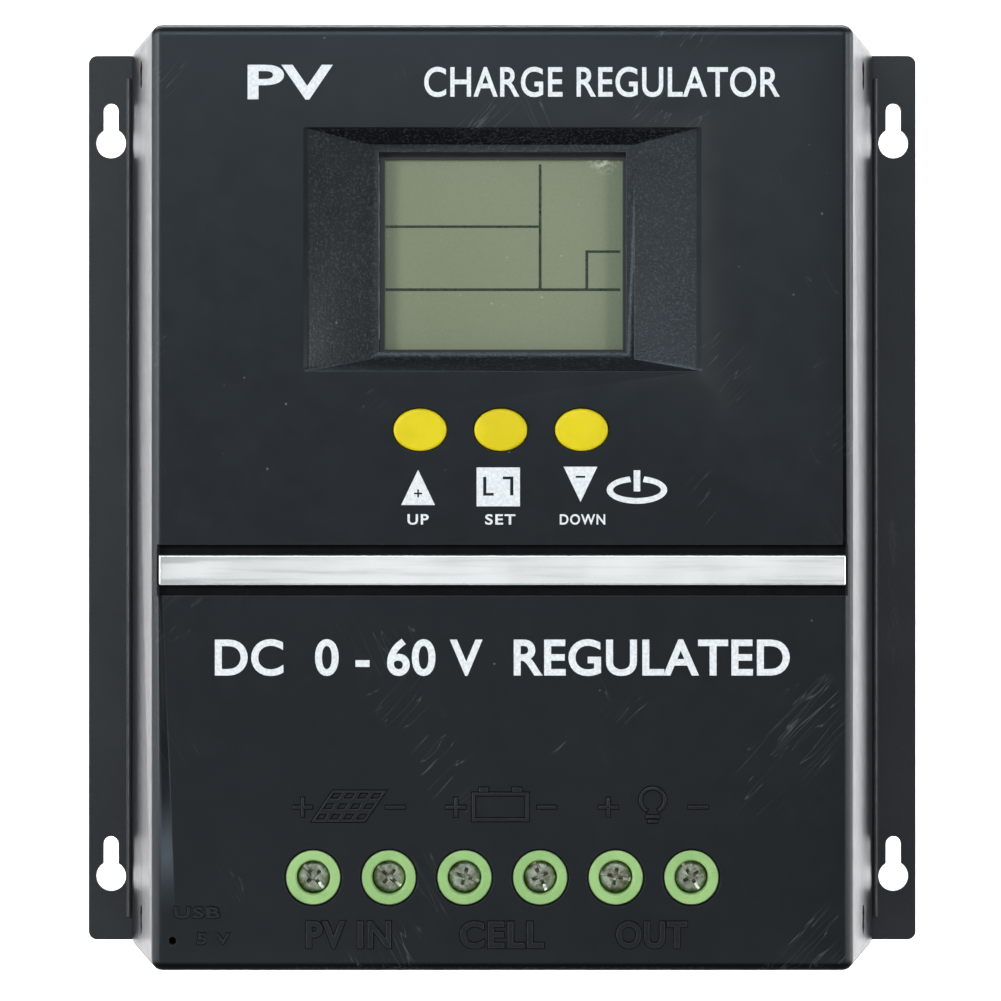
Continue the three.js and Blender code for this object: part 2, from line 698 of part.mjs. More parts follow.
function powerStage() {
  const { lift, thickness: padThickness } = PAD;
  const padRear = -PLATE.thickness - lift;
  const padFront = padRear - padThickness;
  addPart("thermal_pad", slab(0, PAD.z, PAD.width, PAD.height, padFront, padRear), "pad");
  const seat = padFront - lift;
  TRANSISTOR.x.forEach((x, i) => {
    addPart("power_transistor_" + (i + 1), powerTransistor(x, TRANSISTOR.z, seat), "chip");
  });
  const { width, height, thickness, footX } = CLAMP_BAR;
  const barRear = seat - TRANSISTOR.thickness - lift;
  const bar = slab(0, TRANSISTOR.z, width, height, barRear - thickness, barRear);
  const feet = [-1, 1].map((side) =>
    slab(side * footX, TRANSISTOR.z, height, height, barRear - thickness, padRear),
  );
  addPart("transistor_clamp_bar", join([bar, ...feet]), "aluminium");
}

function inductor() {
  const { x, y: middle, z, ringRadius, core, wire, play, gap } = INDUCTOR;
  const section = ([halfWidth, halfHeight]) => [
    [ringRadius - halfWidth, middle - halfHeight],
    [ringRadius + halfWidth, middle - halfHeight],
    [ringRadius + halfWidth, middle + halfHeight],
    [ringRadius - halfWidth, middle + halfHeight],
    [ringRadius - halfWidth, middle - halfHeight],
  ];
  addPart("inductor_core", turned(section(core), x, z, 18), "ferrite");
  const inside = turned(section(core.map((half) => half + play)), x, z, 18);
  const coil = turned(section(wire), x, z, 18).subtract(inside);
  const startGap = box(x - gap / 2, x + gap / 2, middle - 20, middle + 20, z - 30, z);
  const leads = [-1, 1].map((side) => slab(x + side * 5, z - 18.3, 1.6, 1.4, middle, boardFace));
  addPart("inductor_winding", join([coil.subtract(startGap), ...leads]), "copper");
}

function capacitor(x) {
  const { z, radius, height } = CAPACITOR;
  const profile = [
    [0, boardFace - height],
    [radius - 0.4, boardFace - height],
    [radius, boardFace - height + 0.5],
    [radius, boardFace - 3],
    [radius - 0.5, boardFace - 2.4],
    [radius, boardFace - 1.8],
    [radius, boardFace],
    [0, boardFace],
  ];
  return turned(profile, x, z, 16);
}

function boardHeader() {
  const { x, z, width, height, pitch, pin, firstPin } = HEADER;
  const front = DISPLAY_BOARD.frontY + DISPLAY_BOARD.thickness + GAP;
  const pins = [...Array(HEADER.pins).keys()].map((i) =>
    slab(firstPin + i * pitch, z, pin, pin, front, boardFace),
  );
  return join([slab(x, z, width, height, boardFace - height, boardFace), ...pins]);
}

function usbPort() {
  const { x, y, width, height, depth, shell, tongueWidth, tongueHeight } = USB;
  const mouth = -endZ(y) + USB.recess;
  const outer = box(x - width / 2, x + width / 2, y - height / 2, y + height / 2, mouth, mouth + depth);
  const inner = box(
    x - width / 2 + shell,
    x + width / 2 - shell,
    y - height / 2 + shell,
    y + height / 2 - shell,
    mouth - PAST,
    mouth + depth - 1.5,
  );
  const half = tongueWidth / 2;
  const tongue = box(x - half, x + half, y - tongueHeight, y, mouth + USB.tongueBack, mouth + depth - 1);
  return outer.subtract(inner).add(tongue);
}

function statusLed() {
  const { x, z, radius, tipY, baseY, legWidth } = LED;
  const profile = [
    [0, tipY],
    [radius * 0.6, tipY + 0.2],
    [radius, tipY + 0.9],
    [radius, baseY],
    [0, baseY],
  ];
  const dome = turned(profile, x, z, 12);
  const legs = [-1, 1].map((side) =>
    slab(x + side * LED.legs, z, legWidth, legWidth, baseY - 0.2, boardFace),
  );
  return join([dome, ...legs]);
}

// ---------------------------------------------------------------- assembly
addPart("front_cover", frontCover(), "caseBlack");
addPart("back_plate", backPlate(), "plateBlack");
addPart("trim_strip", trimStrip(), "chrome");
for (const [side, up] of corners) {
  addPart("cover_screw_" + cornerName(side, up), onSideWall(coverScrew(), side, up), "zinc");
}
displayParts();
buttons();
terminals();
addPart("main_board", mainBoard(), "board");
for (const [side, up] of corners) {
  addPart("board_screw_" + cornerName(side, up), boardScrew(side * POST.x, pairZ(POST.z, up)), "zinc");
}
powerStage();
inductor();
CAPACITOR.x.forEach((x, i) => addPart("capacitor_" + (i + 1), capacitor(x), "sleeve"));
const chip = slab(CHIP.x, CHIP.z, CHIP.size, CHIP.size, boardFace - CHIP.height, boardFace);
addPart("microcontroller", chip, "chip");
addPart("board_header", boardHeader(), "chip");
addPart("usb_port", usbPort(), "steel");
addPart("status_led", statusLed(), "red");

export default root;
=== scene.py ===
"""Looks of the wall-mounted charge controller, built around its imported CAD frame.

The frame's own axes are used: +X right, +Y into the wall, +Z up. Sizes of shapes are in millimetres, and
meshes are turned into metres when they are made. Materials, lights and the camera are in metres.
"""
import json
import math
import random

import bmesh
import bpy
from mathutils import Matrix, Vector


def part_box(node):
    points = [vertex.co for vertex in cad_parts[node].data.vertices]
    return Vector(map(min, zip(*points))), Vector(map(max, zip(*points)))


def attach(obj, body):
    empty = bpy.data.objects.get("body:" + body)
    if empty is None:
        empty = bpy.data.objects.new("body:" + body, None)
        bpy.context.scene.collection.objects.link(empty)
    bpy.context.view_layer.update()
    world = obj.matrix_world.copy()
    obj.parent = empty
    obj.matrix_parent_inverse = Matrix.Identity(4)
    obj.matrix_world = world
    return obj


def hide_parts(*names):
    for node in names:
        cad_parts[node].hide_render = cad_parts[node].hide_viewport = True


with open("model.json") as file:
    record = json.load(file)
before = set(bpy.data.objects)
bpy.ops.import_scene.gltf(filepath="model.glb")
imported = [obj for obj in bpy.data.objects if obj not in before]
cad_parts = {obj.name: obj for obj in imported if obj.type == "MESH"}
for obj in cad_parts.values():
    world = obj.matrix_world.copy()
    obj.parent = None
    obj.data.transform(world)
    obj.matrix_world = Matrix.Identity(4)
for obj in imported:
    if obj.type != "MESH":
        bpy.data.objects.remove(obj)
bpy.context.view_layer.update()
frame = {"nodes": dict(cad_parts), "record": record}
random.seed(11)
MM = 0.001
HOUSING = "housing"


def box_mm(node):
    """Lowest and highest corner of a CAD node, in millimetres."""
    low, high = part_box(node)
    return low / MM, high / MM


# ---------------------------------------------------------------- places that the frame gives
LCD_LOW, LCD_HIGH = box_mm("lcd_panel")
FACE_Y = box_mm("front_cover")[0].y
PLATE_FRONT_Y = box_mm("back_plate")[1].y - 1.5
BUTTONS = {name: sum(box_mm("button_" + name), Vector()) / 2 for name in ("up", "set", "down")}
SCREWS = {n: sum(box_mm(f"terminal_screw_{n}"), Vector()) / 2 for n in range(1, 7)}
BLOCKS = ("pv", "battery", "load")
CORNERS = ("upper_left", "lower_left", "upper_right", "lower_right")

# ---------------------------------------------------------------- sizes of the finer shapes
CAP_RX, CAP_RZ = 5.25, 4.2
COLLAR_RADIUS, BORE_RADIUS, GAP_SHADE_RADIUS = 5.4, 3.35, 5.72
HALF_PITCH = 7.5
HEAD_RADIUS, HEAD_HEIGHT, SHANK_RADIUS = 3.15, 2.6, 2.0
THREAD_PITCH, THREAD_DEPTH = 0.7, 0.35
COVER_SCREW_Y = -29.4
PRINT_THICKNESS = 0.02
RELIEF = 0.45
FOOT_WIDTH, FOOT_HEIGHT = 0.22, 0.02
GROOVE_HEIGHT = 10.1
SIDE_REAR_X, SIDE_FRONT_X = 78.5, 69.45


# ---------------------------------------------------------------- node helper
class Nodes:
    """Short way to build a material's node tree."""

    def __init__(self, name):
        self.material = bpy.data.materials.new(name)
        self.material.use_nodes = True
        self.tree = self.material.node_tree
        self.shader = self.tree.nodes["Principled BSDF"]
        self.coords = self.tree.nodes.new("ShaderNodeTexCoord").outputs["Object"]

    def add(self, kind, **settings):
        node = self.tree.nodes.new("ShaderNode" + kind)
        for key, value in settings.items():
            if key in node.inputs:
                self.feed(node.inputs[key], value)
            else:
                setattr(node, key, value)
        return node

    def feed(self, socket, value):
        if isinstance(value, bpy.types.NodeSocket):
            self.tree.links.new(value, socket)
        else:
            socket.default_value = value

    def set(self, **values):
        for key, value in values.items():
            self.feed(self.shader.inputs[key.replace("_", " ")], value)

    def stretched(self, scale=(1, 1, 1), turn=(0, 0, 0)):
        """Object coordinates turned first and then scaled along the turned axes."""
        node = self.add("Mapping", vector_type="TEXTURE")
        self.tree.links.new(self.coords, node.inputs["Vector"])
        node.inputs["Scale"].default_value = [1 / factor for factor in scale]
        node.inputs["Rotation"].default_value = turn
        return node.outputs["Vector"]

    def noise(self, scale, detail=3.0, rough=0.55, vector=None, distortion=0.0):
        node = self.add("TexNoise")
        self.feed(node.inputs["Vector"], vector or self.coords)
        node.inputs["Scale"].default_value = scale
        node.inputs["Detail"].default_value = detail
        node.inputs["Roughness"].default_value = rough
        node.inputs["Distortion"].default_value = distortion
        return node.outputs["Fac"]

    def ramp(self, value, low, high, out_low=0.0, out_high=1.0):
        node = self.add("MapRange", interpolation_type="SMOOTHSTEP")
        self.feed(node.inputs["Value"], value)
        for key, number in (("From Min", low), ("From Max", high), ("To Min", out_low), ("To Max", out_high)):
            node.inputs[key].default_value = number
        return node.outputs["Result"]

    def math(self, operation, a, b=0.0):
        node = self.add("Math", operation=operation)
        self.feed(node.inputs[0], a)
        self.feed(node.inputs[1], b)
        return node.outputs[0]

    def mix(self, factor, a, b):
        node = self.add("Mix", data_type="RGBA")
        self.feed(node.inputs[0], factor)
        self.feed(node.inputs[6], a)
        self.feed(node.inputs[7], b)
        return node.outputs[2]

    def axis(self, letter):
        node = self.add("SeparateXYZ")
        self.tree.links.new(self.coords, node.inputs[0])
        return node.outputs[letter]

    def facing_up(self):
        """1 where the surface looks up, -1 where it looks down."""
        split = self.add("SeparateXYZ")
        self.tree.links.new(self.add("NewGeometry").outputs["Normal"], split.inputs[0])
        return split.outputs["Z"]

    def edge_mask(self, radius, gain=1.0):
        """1 along edges and 0 on flats: how far a rounded normal leans from the true one."""
        rounded = self.add("Bevel", samples=4)
        rounded.inputs["Radius"].default_value = radius
        true = self.add("NewGeometry").outputs["Normal"]
        dot = self.add("VectorMath", operation="DOT_PRODUCT")
        self.tree.links.new(rounded.outputs["Normal"], dot.inputs[0])
        self.tree.links.new(true, dot.inputs[1])
        return self.ramp(dot.outputs["Value"], 0.995, 0.86, 0.0, gain)

    def bump(self, *layers, soft_edge=0.0):
        """Layers are (height, strength, distance in metres), the first one lowest."""
        normal = None
        if soft_edge:
            rounded = self.add("Bevel", samples=4)
            rounded.inputs["Radius"].default_value = soft_edge
            normal = rounded.outputs["Normal"]
        for height, strength, distance in layers:
            node = self.add("Bump")
            node.inputs["Strength"].default_value = strength
            node.inputs["Distance"].default_value = distance
            self.feed(node.inputs["Height"], height)
            if normal:
                self.tree.links.new(normal, node.inputs["Normal"])
            normal = node.outputs["Normal"]
        self.tree.links.new(normal, self.shader.inputs["Normal"])


def grey(value, tint=(1, 1, 1)):
    return (value * tint[0], value * tint[1], value * tint[2], 1)


# ---------------------------------------------------------------- materials
def scratches(n, turn, scale, width, sparse):
    """Thin marks along one direction, kept only where a broad noise is high."""
    long = n.stretched((scale, scale, scale * 0.06), turn)
    line = n.noise(1.0, 2.0, 0.5, long, 0.3)
    near = n.math("ABSOLUTE", n.math("SUBTRACT", line, 0.5))
    thin = n.ramp(near, width, 0.0)
    where = n.ramp(n.noise(34.0, 2.0, 0.5, n.stretched((1, 1, 1), turn)), sparse, sparse + 0.06)
    return n.math("MULTIPLY", thin, where)


def case_plastic():
    """Black moulded cover: satin, finely grained, with light scuffs, dust and rubbed edges."""
    n = Nodes("case_black")
    broad = n.noise(22.0, 4.0, 0.6)
    grain = n.noise(4200.0, 2.0, 0.6)
    cloud = n.noise(240.0, 5.0, 0.65)
    base = n.mix(n.ramp(broad, 0.3, 0.7), grey(0.0016, (0.75, 1.0, 1.3)), grey(0.0028, (0.78, 1.0, 1.25)))
    base = n.mix(n.ramp(grain, 0.35, 0.75, 0.0, 0.3), base, grey(0.008, (0.85, 1.0, 1.15)))
    marks = n.math(
        "MAXIMUM",
        scratches(n, (0.1, 0.75, 0.2), 520.0, 0.010, 0.60),
        scratches(n, (0.0, -0.5, -0.1), 420.0, 0.008, 0.62),
    )
    specks = n.add("TexVoronoi", feature="F1")
    n.feed(specks.inputs["Vector"], n.coords)
    specks.inputs["Scale"].default_value = 190.0
    dust = n.ramp(specks.outputs["Distance"], 0.055, 0.03)
    dust = n.math("MULTIPLY", dust, n.ramp(n.noise(60.0, 2.0), 0.56, 0.62, 0.0, 0.7))
    scuff = n.ramp(n.noise(70.0, 6.0, 0.7), 0.60, 0.80, 0.0, 0.06)
    edge = n.edge_mask(0.00035, 1.0)
    light = grey(0.13, (0.97, 1.0, 1.03))
    base = n.mix(n.math("MULTIPLY", marks, 0.3), base, light)
    base = n.mix(dust, base, light)
    base = n.mix(scuff, base, grey(0.07))
    base = n.mix(n.math("MULTIPLY", edge, 0.35), base, grey(0.06))
    rough = n.math("SUBTRACT", n.ramp(cloud, 0.3, 0.7, 0.33, 0.37), n.math("MULTIPLY", edge, 0.06))
    shine = n.ramp(n.facing_up(), -0.40, -0.08, 0.03, 0.36)
    below_face = n.ramp(n.axis("Y"), (FACE_Y + 0.3) * MM, (FACE_Y + 0.6) * MM)
    near_middle = n.ramp(n.math("ABSOLUTE", n.axis("X")), 0.044, 0.042)
    in_recess = n.math("MULTIPLY", below_face, near_middle)
    shine = n.math("MULTIPLY", shine, n.ramp(in_recess, 0.0, 1.0, 1.0, 1.25))
    pale_grain = n.math("MULTIPLY", in_recess, n.ramp(n.noise(2100.0, 2.0), 0.52, 0.66, 0.0, 0.4))
    base = n.mix(pale_grain, base, grey(0.05, (0.95, 1.0, 1.03)))
    n.set(Base_Color=base, Roughness=rough, Specular_IOR_Level=shine, Specular_Tint=(0.92, 1.0, 1.05, 1))
    texture = n.math("MULTIPLY", n.noise(2600.0, 2.0, 0.6), n.ramp(in_recess, 0.0, 1.0, 0.12, 1.0))
    n.bump(
        (n.noise(55.0, 2.0), 0.02, 0.0004),
        (texture, 0.6, 0.00008),
        (n.math("MULTIPLY", marks, -1.0), 0.25, 0.00003),
        soft_edge=0.00025,
    )
    return n.material


def plate_paint():
    """Black powder coat on sheet steel: fine orange peel, scuffed in streaks."""
    n = Nodes("plate_black")
    grain = n.noise(2600.0, 3.0, 0.6)
    broad = n.noise(30.0, 5.0, 0.65)
    base = n.mix(n.ramp(broad, 0.3, 0.7), grey(0.008, (0.82, 1.0, 1.15)), grey(0.014, (0.85, 1.0, 1.12)))
    base = n.mix(n.ramp(grain, 0.45, 0.75, 0.0, 0.35), base, grey(0.028, (0.95, 1.0, 1.05)))
    streaks = n.ramp(n.noise(120.0, 6.0, 0.75, n.stretched((1, 1, 0.25))), 0.6, 0.75, 0.0, 0.3)
    base = n.mix(streaks, base, grey(0.07))
    # Paler along the edges: a painted highlight.
    base = n.mix(n.edge_mask(0.0003, 0.4), base, grey(0.11))
    n.set(Base_Color=base, Roughness=n.ramp(grain, 0.3, 0.7, 0.38, 0.52), Specular_IOR_Level=0.36)
    n.bump((grain, 0.5, 0.00006), (n.noise(300.0, 2.0), 0.1, 0.0002), soft_edge=0.0003)
    return n.material


def chrome():
    """Bright trim strip: mirror finish, faintly wavy, with fine rub marks."""
    n = Nodes("trim_bright")
    haze = n.noise(700.0, 3.0, 0.6, n.stretched((0.05, 1, 1)))
    wave = n.noise(9.0, 1.0, 0.4, n.stretched((1, 1, 2.2), (0, 0.5, 0)))
    cloud = n.ramp(n.noise(45.0, 3.0), 0.35, 0.65)
    tint = n.mix(cloud, grey(0.80, (0.97, 1.0, 0.99)), grey(0.90, (0.98, 1.0, 1.0)))
    n.set(Base_Color=tint, Metallic=1.0, Roughness=n.ramp(haze, 0.35, 0.75, 0.05, 0.14))
    n.bump((wave, 0.5, 0.0016), (haze, 0.03, 0.00002), soft_edge=0.0002)
    return n.material


def print_ink():
    """Pale screen-printed ink, a little thin in places."""
    n = Nodes("print_pale")
    thin = n.ramp(n.noise(1500.0, 4.0, 0.65), 0.35, 0.65)
    blotch = n.ramp(n.noise(180.0, 3.0), 0.3, 0.7)
    base = n.mix(thin, grey(0.55, (0.98, 1.0, 1.0)), grey(0.71, (0.98, 1.0, 1.0)))
    base = n.mix(n.math("MULTIPLY", blotch, 0.2), base, grey(0.52, (0.97, 1.0, 1.01)))
    n.set(Base_Color=base, Roughness=0.5)
    n.bump((n.noise(2600.0, 2.0), 0.2, 0.00003))
    return n.material


def yellow_plastic():
    """Yellow push-button plastic: satin, with a painted highlight along the rim."""
    n = Nodes("button_yellow")
    broad = n.ramp(n.noise(140.0, 3.0), 0.35, 0.65)
    base = n.mix(broad, (0.56, 0.44, 0.001, 1), (0.61, 0.49, 0.002, 1))
    # Paler yellow along the edges: a painted highlight.
    base = n.mix(n.edge_mask(0.0004, 0.3), base, (0.80, 0.68, 0.04, 1))
    grime = n.ramp(n.noise(700.0, 4.0, 0.7), 0.6, 0.8, 0.0, 0.12)
    base = n.mix(grime, base, (0.42, 0.32, 0.02, 1))
    rough = n.ramp(n.noise(400.0, 3.0), 0.3, 0.7, 0.34, 0.46)
    n.set(Base_Color=base, Roughness=rough, Specular_IOR_Level=0.3)
    n.bump((n.noise(3000.0, 2.0), 0.2, 0.00003))
    return n.material


def green_plastic():
    """Green terminal-block plastic: light, satin, with handling marks near the collars."""
    n = Nodes("terminal_green")
    broad = n.ramp(n.noise(160.0, 3.0), 0.35, 0.65)
    base = n.mix(broad, (0.215, 0.375, 0.122, 1), (0.260, 0.430, 0.150, 1))
    # Paler green along the edges: a painted highlight, as on each collar's rim.
    base = n.mix(n.edge_mask(0.0004, 0.45), base, (0.42, 0.66, 0.27, 1))
    grime = n.ramp(n.noise(900.0, 5.0, 0.7), 0.58, 0.8, 0.0, 0.2)
    base = n.mix(grime, base, (0.10, 0.24, 0.06, 1))
    n.set(Base_Color=base, Roughness=n.ramp(n.noise(500.0, 3.0), 0.3, 0.7, 0.36, 0.5))
    n.bump((n.noise(2600.0, 2.0), 0.2, 0.00003), soft_edge=0.0002)
    return n.material


def rubbed(colour, factor):
    """A colour made brighter, for worn edges."""
    return (*(min(1, part * factor) for part in colour[:3]), 1)


def metal(name, dark, pale, rough, bump_scale=900.0, stain=None, stain_amount=0.0, brushed=None):
    """Plated or bare metal with cloudy colour, fine marks and bright edges."""
    n = Nodes(name)
    cloud = n.noise(500.0, 5.0, 0.7)
    base = n.mix(n.ramp(cloud, 0.3, 0.7), dark, pale)
    if stain:
        spots = n.ramp(n.noise(760.0, 4.0, 0.7, distortion=0.6), 0.5, 0.62, 0.0, stain_amount)
        base = n.mix(spots, base, stain)
    base = n.mix(n.edge_mask(0.0002, 0.5), base, rubbed(pale, 1.5))
    marks = n.noise(bump_scale, 4.0, 0.65, n.stretched(brushed) if brushed else None)
    n.set(Base_Color=base, Metallic=1.0, Roughness=n.ramp(marks, 0.3, 0.7, rough * 0.75, rough * 1.3))
    n.bump((marks, 0.25, 0.00004), soft_edge=0.00015)
    return n.material


def plain_plastic(name, dark, pale, rough, grain=1500.0, shine=0.5):
    """Moulded plastic or resin with slight mottling and grain."""
    n = Nodes(name)
    base = n.mix(n.ramp(n.noise(300.0, 4.0), 0.3, 0.7), dark, pale)
    base = n.mix(n.edge_mask(0.0002, 0.25), base, rubbed(pale, 1.8))
    mottled = n.ramp(n.noise(grain, 3.0), 0.3, 0.7, rough * 0.85, rough * 1.15)
    n.set(Base_Color=base, Roughness=mottled, Specular_IOR_Level=shine)
    n.bump((n.noise(grain, 2.0), 0.25, 0.00003), soft_edge=0.00015)
    return n.material


def board_mask():
    """Green solder mask over copper tracks, with tinned pads showing through."""
    n = Nodes("board_green")
    tracks = n.add("TexBrick", offset=0.5)
    n.feed(tracks.inputs["Vector"], n.stretched((1, 1, 1), (math.pi / 2, 0, 0)))
    tracks.inputs["Scale"].default_value = 60.0
    tracks.inputs["Mortar Size"].default_value = 0.012
    tracks.inputs["Color1"].default_value = (0.012, 0.10, 0.035, 1)
    tracks.inputs["Color2"].default_value = (0.018, 0.13, 0.045, 1)
    tracks.inputs["Mortar"].default_value = (0.03, 0.20, 0.08, 1)
    cloud = n.ramp(n.noise(200.0, 3.0), 0.3, 0.7, 0.0, 0.4)
    mottled = n.mix(cloud, tracks.outputs["Color"], (0.01, 0.07, 0.025, 1))
    n.set(Base_Color=mottled, Roughness=n.ramp(n.noise(600.0, 3.0), 0.3, 0.7, 0.25, 0.4))
    n.bump((tracks.outputs["Fac"], 0.4, 0.00004))
    return n.material


def lcd_surface():
    """Reflective liquid crystal panel: grey-green, darker at both sides, with dust and a dry smear."""
    n = Nodes("lcd_green")
    centre = (LCD_LOW + LCD_HIGH) / 2 * MM
    half = (LCD_HIGH - LCD_LOW) / 2 * MM
    across = n.math("DIVIDE", n.math("SUBTRACT", n.axis("X"), centre.x), half.x)
    leftwards = n.math("MULTIPLY", across, -1.0)
    sides = n.math("MAXIMUM", n.ramp(across, 0.55, 0.98, 0.0, 0.75), n.ramp(leftwards, 0.76, 0.94, 0.0, 0.8))
    base = n.mix(n.ramp(n.noise(24.0, 2.0), 0.3, 0.7), (0.162, 0.180, 0.106, 1), (0.171, 0.191, 0.116, 1))
    base = n.mix(sides, base, (0.120, 0.146, 0.088, 1))
    specks = n.add("TexVoronoi", feature="F1")
    n.feed(specks.inputs["Vector"], n.coords)
    specks.inputs["Scale"].default_value = 420.0
    dust = n.ramp(specks.outputs["Distance"], 0.10, 0.05)
    dust = n.math("MULTIPLY", dust, n.ramp(n.noise(150.0, 3.0), 0.48, 0.56, 0.0, 0.5))
    base = n.mix(dust, base, (0.42, 0.46, 0.33, 1))
    grain = n.ramp(n.noise(2600.0, 2.0), 0.35, 0.75, 0.0, 0.10)
    base = n.mix(grain, base, (0.30, 0.34, 0.23, 1))
    spot = n.add("VectorMath", operation="DISTANCE")
    n.feed(spot.inputs[0], n.coords)
    spot.inputs[1].default_value = (0.0204, LCD_LOW.y * MM, 0.0683)
    near = n.ramp(spot.outputs["Value"], 0.0042, 0.0008)
    smear = n.math("MULTIPLY", near, n.ramp(n.noise(1500.0, 4.0, 0.7), 0.46, 0.60, 0.0, 0.9))
    base = n.mix(smear, base, (0.46, 0.50, 0.38, 1))
    n.set(Base_Color=base, Roughness=n.ramp(n.noise(60.0, 1.0), 0.3, 0.7, 0.28, 0.30), Coat_Weight=0.2)
    n.shader.inputs["Coat Roughness"].default_value = 0.08
    n.bump((n.noise(1200.0, 2.0), 0.05, 0.00002))
    return n.material


def studio_paper():
    """Seamless paper: the floor and the backdrop, grey near the object and white far behind it as painted
    shade.
    """
    n = Nodes("studio_paper")
    near = n.mix(n.noise(3.0, 2.0), grey(0.46), grey(0.50))
    far = n.mix(n.noise(3.0, 2.0), grey(0.86), grey(0.88))
    # Grey near the object and white far off: painted shade.
    n.set(Base_Color=n.mix(n.ramp(n.axis("Y"), 0.5, 1.9), near, far), Roughness=0.9)
    return n.material


MATERIALS = {
    "case_black": case_plastic(),
    "plate_black": plate_paint(),
    "trim_bright": chrome(),
    "print_pale": print_ink(),
    "button_yellow": yellow_plastic(),
    "terminal_green": green_plastic(),
    "lcd_green": lcd_surface(),
    "board_green": board_mask(),
    "bezel_black": plain_plastic("bezel_black", grey(0.008), grey(0.014), 0.45),
    "lcd_ink": plain_plastic("lcd_ink", (0.010, 0.020, 0.008, 1), (0.016, 0.028, 0.012, 1), 0.3),
    # Near-black paint for painted shade: in the grooves by the trim strip, round the feet of raised signs and
    # in the gaps round the terminal collars.
    "painted_shade": plain_plastic("painted_shade", grey(0.002), grey(0.004), 0.6, shine=0.08),
    # Paler paint for the plate's beads: a painted highlight.
    "plate_highlight": plain_plastic("plate_highlight", grey(0.035), grey(0.07), 0.36, 2600.0),
    "scuffed_edge": plain_plastic("scuffed_edge", grey(0.05), grey(0.22), 0.6, 3500.0),
    "light_guide": plain_plastic("light_guide", (0.62, 0.68, 0.55, 1), (0.72, 0.77, 0.66, 1), 0.3),
    "switch_black": plain_plastic("switch_black", grey(0.012), grey(0.02), 0.5),
    "plunger_tan": plain_plastic("plunger_tan", (0.40, 0.30, 0.14, 1), (0.5, 0.38, 0.2, 1), 0.45),
    "package_black": plain_plastic("package_black", grey(0.010), grey(0.018), 0.42, 2500.0),
    "pad_grey": plain_plastic("pad_grey", grey(0.20), grey(0.27), 0.8),
    "ferrite_grey": plain_plastic("ferrite_grey", grey(0.03), grey(0.05), 0.7, 3000.0),
    "sleeve_blue": plain_plastic("sleeve_blue", (0.010, 0.02, 0.07, 1), (0.016, 0.03, 0.10, 1), 0.25),
    "led_red": plain_plastic("led_red", (0.05, 0.003, 0.002, 1), (0.08, 0.005, 0.004, 1), 0.15),
    "screw_zinc": metal(
        "screw_zinc", (0.21, 0.21, 0.14, 1), (0.58, 0.605, 0.49, 1), 0.36, 1600.0, (0.13, 0.095, 0.06, 1), 0.7
    ),
    "clamp_steel": metal("clamp_steel", (0.40, 0.40, 0.39, 1), (0.58, 0.58, 0.57, 1), 0.32),
    "contact_brass": metal("contact_brass", (0.55, 0.42, 0.18, 1), (0.70, 0.57, 0.30, 1), 0.3),
    "port_steel": metal("port_steel", grey(0.50), grey(0.66), 0.26, brushed=(1, 1, 0.05)),
    "bar_aluminium": metal(
        "bar_aluminium", (0.58, 0.59, 0.60, 1), (0.72, 0.73, 0.74, 1), 0.3, brushed=(0.04, 1, 1)
    ),
    "winding_copper": metal("winding_copper", (0.45, 0.17, 0.06, 1), (0.62, 0.27, 0.11, 1), 0.3),
}


# ---------------------------------------------------------------- mesh helpers
def finish_piece(piece, material, body, replaces=(), smooth=True, sharp=32, weigh=True):
    """Gives a finished mesh its material, soft shading and body, and hides the CAD nodes that it replaces."""
    piece.data.materials.clear()
    piece.data.materials.append(MATERIALS[material])
    if smooth:
        piece.data.set_sharp_from_angle(angle=math.radians(sharp))
        if weigh:
            piece.modifiers.new("weigh", "WEIGHTED_NORMAL").keep_sharp = True
    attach(piece, body)
    if replaces:
        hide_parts(*replaces)
    return piece


def link(name, mesh):
    piece = bpy.data.objects.new(name, mesh)
    bpy.context.scene.collection.objects.link(piece)
    return piece


def new_mesh(name, points, faces):
    """Object made of points in millimetres."""
    mesh = bpy.data.meshes.new(name)
    mesh.from_pydata([tuple(c * MM for c in p) for p in points], [], faces)
    mesh.update()
    return link(name, mesh)


def baked(piece):
    """The same object with its modifiers applied."""
    graph = bpy.context.evaluated_depsgraph_get()
    mesh = bpy.data.meshes.new_from_object(piece.evaluated_get(graph))
    name, old = piece.name, piece.data
    result = link(name, mesh)
    bpy.data.objects.remove(piece)
    if old.users == 0 and isinstance(old, bpy.types.Mesh):
        bpy.data.meshes.remove(old)
    result.name = name
    mesh.name = name
    return result


def lathe(name, profile, x=0.0, z=0.0, sides=96, rx=1.0, rz=1.0):
    """Turned about Y: profile points are (radius, y), first and last on the axis."""
    points, faces = [], []
    for r, y in profile[1:-1]:
        for i in range(sides):
            a = 2 * math.pi * i / sides
            points.append((x + rx * r * math.cos(a), y, z + rz * r * math.sin(a)))
    rows = len(profile) - 2
    first, last = len(points), len(points) + 1
    points += [(x, profile[0][1], z), (x, profile[-1][1], z)]
    for i in range(sides):
        j = (i + 1) % sides
        faces.append((first, j, i))
        faces.append((last, (rows - 1) * sides + i, (rows - 1) * sides + j))
        for k in range(rows - 1):
            a, b = k * sides, (k + 1) * sides
            faces.append((a + i, a + j, b + j, b + i))
    piece = new_mesh(name, points, faces)
    return face_outwards(piece)


def face_outwards(piece):
    b = bmesh.new()
    b.from_mesh(piece.data)
    bmesh.ops.recalc_face_normals(b, faces=b.faces)
    b.to_mesh(piece.data)
    b.free()
    return piece


def block(name, low, high):
    """Box between two corners, as a cutter or a base for one."""
    xs, ys, zs = zip(low, high)
    points = [(x, y, z) for x in xs for y in ys for z in zs]
    faces = [(0, 1, 3, 2), (4, 6, 7, 5), (0, 4, 5, 1), (2, 3, 7, 6), (0, 2, 6, 4), (1, 5, 7, 3)]
    return face_outwards(new_mesh(name, points, faces))


